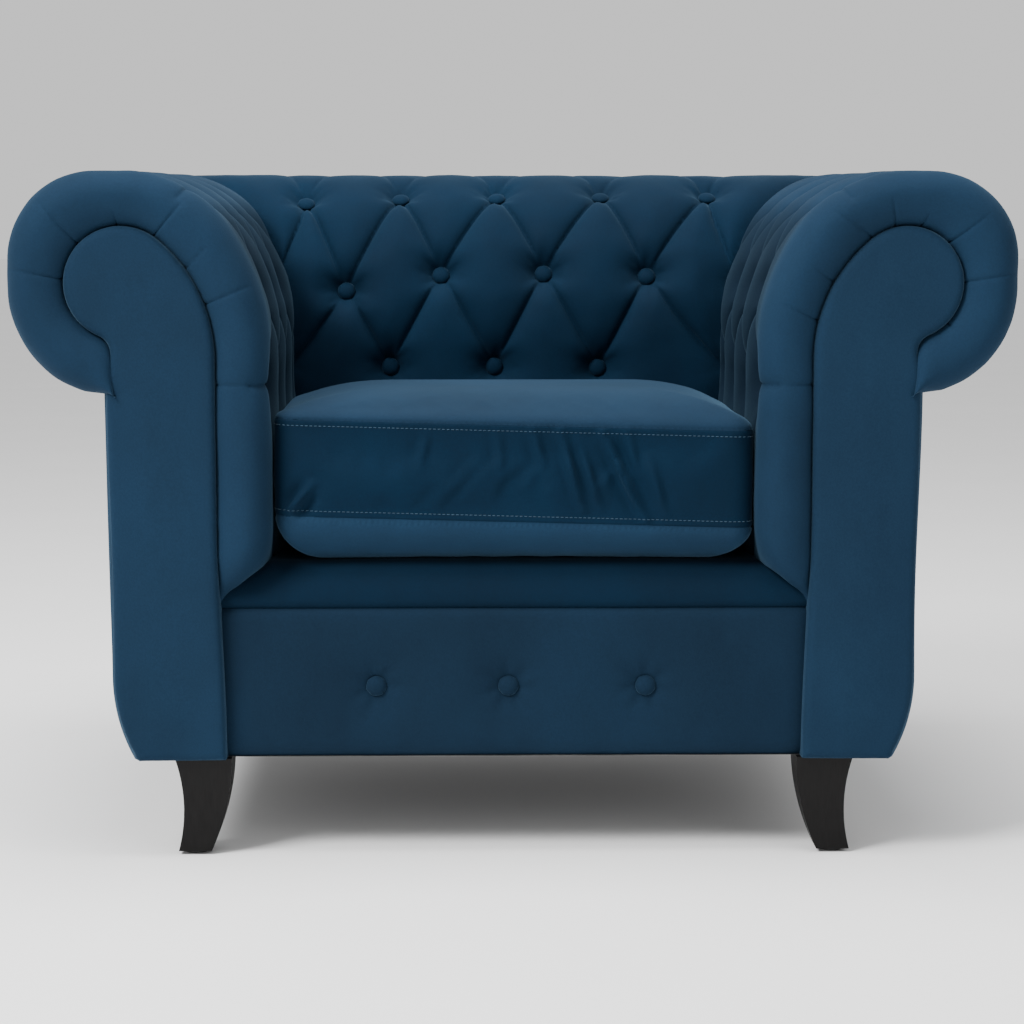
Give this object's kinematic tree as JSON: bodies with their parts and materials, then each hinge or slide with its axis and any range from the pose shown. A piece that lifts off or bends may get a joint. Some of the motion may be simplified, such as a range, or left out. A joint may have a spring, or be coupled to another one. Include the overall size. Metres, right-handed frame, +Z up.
{
  "type": "upholstered armchair",
  "caption": "Velvet armchair with rolled arms, deep-buttoned back and arms, a loose box seat cushion and curved black legs.",
  "frame": {"origin": "on the floor, under the centre of the chair's bounding box", "axes": "+Z up; the chair faces -Y; +X is to the right of someone looking at its front"},
  "size_m": [1.1452, 0.85, 0.7851],
  "materials": {
    "velvet": "matte",
    "foam": "matte",
    "hardwood": "matte",
    "plywood": "matte",
    "fibreboard": "matte",
    "webbing": "matte",
    "twine": "matte",
    "felt": "matte",
    "spring_steel": "satin",
    "zinc_steel": "satin",
    "lacquered_wood": "satin",
    "glide_plastic": "matte",
    "dust_cloth": "matte",
    "zip_tape": "matte",
    "zip_metal": "satin"
  },
  "bodies": {
    "root": {"apron_buttons": "velvet", "apron_cover": "velvet", "apron_foam": "foam", "arm_battens_left": "hardwood", "arm_battens_right": "hardwood", "arm_board_left": "fibreboard", "arm_board_right": "fibreboard", "arm_buttons_left": "velvet", "arm_buttons_right": "velvet", "arm_cover_left": "velvet", "arm_cover_right": "velvet", "arm_foam_left": "foam", "arm_foam_right": "foam", "arm_front_scroll_left": "plywood", "arm_front_scroll_right": "plywood", "arm_mid_ribs": "plywood", "arm_rear_scroll_left": "plywood", "arm_rear_scroll_right": "plywood", "back_battens": "hardwood", "back_board": "fibreboard", "back_buttons": "velvet", "back_cover": "velvet", "back_foam": "foam", "back_ribs": "plywood", "back_webbing": "webbing", "button_ties": "twine", "corner_plates": "plywood", "corner_posts": "hardwood", "deck_cover": "velvet", "deck_foam": "foam", "deck_insulator": "felt", "dust_cover": "dust_cloth", "facing_board_left": "fibreboard", "facing_board_right": "fibreboard", "facing_cover_left": "velvet", "facing_cover_right": "velvet", "foot_glides": "glide_plastic", "frame_screws": "zinc_steel", "front_rail": "hardwood", "leg_bolts": "zinc_steel", "leg_front_left": "lacquered_wood", "leg_front_right": "lacquered_wood", "leg_nuts": "zinc_steel", "leg_rear_left": "lacquered_wood", "leg_rear_right": "lacquered_wood", "lip_foam": "foam", "outside_arm_cover_left": "velvet", "outside_arm_cover_right": "velvet", "outside_back_cover": "velvet", "rear_rail": "hardwood", "seat_springs": "spring_steel", "seat_stretcher": "hardwood", "side_rails": "hardwood", "spring_clips": "zinc_steel", "spring_tie_wires": "spring_steel"},
    "seat_cushion": {"cushion_foam": "foam", "cushion_cover": "velvet", "cushion_zip": "zip_tape"},
    "zip_slider": {"zip_slider": "zip_metal"}
  },
  "joints": [
    {"name": "cushion_lift", "type": "slide", "parent": "root", "child": "seat_cushion", "axis": [0, 0, 1], "range_m": [0, 0.45]},
    {"name": "zip_slide", "type": "slide", "parent": "seat_cushion", "child": "zip_slider", "axis": [-1, 0, 0], "range_m": [0, 0.4]}
  ]
}
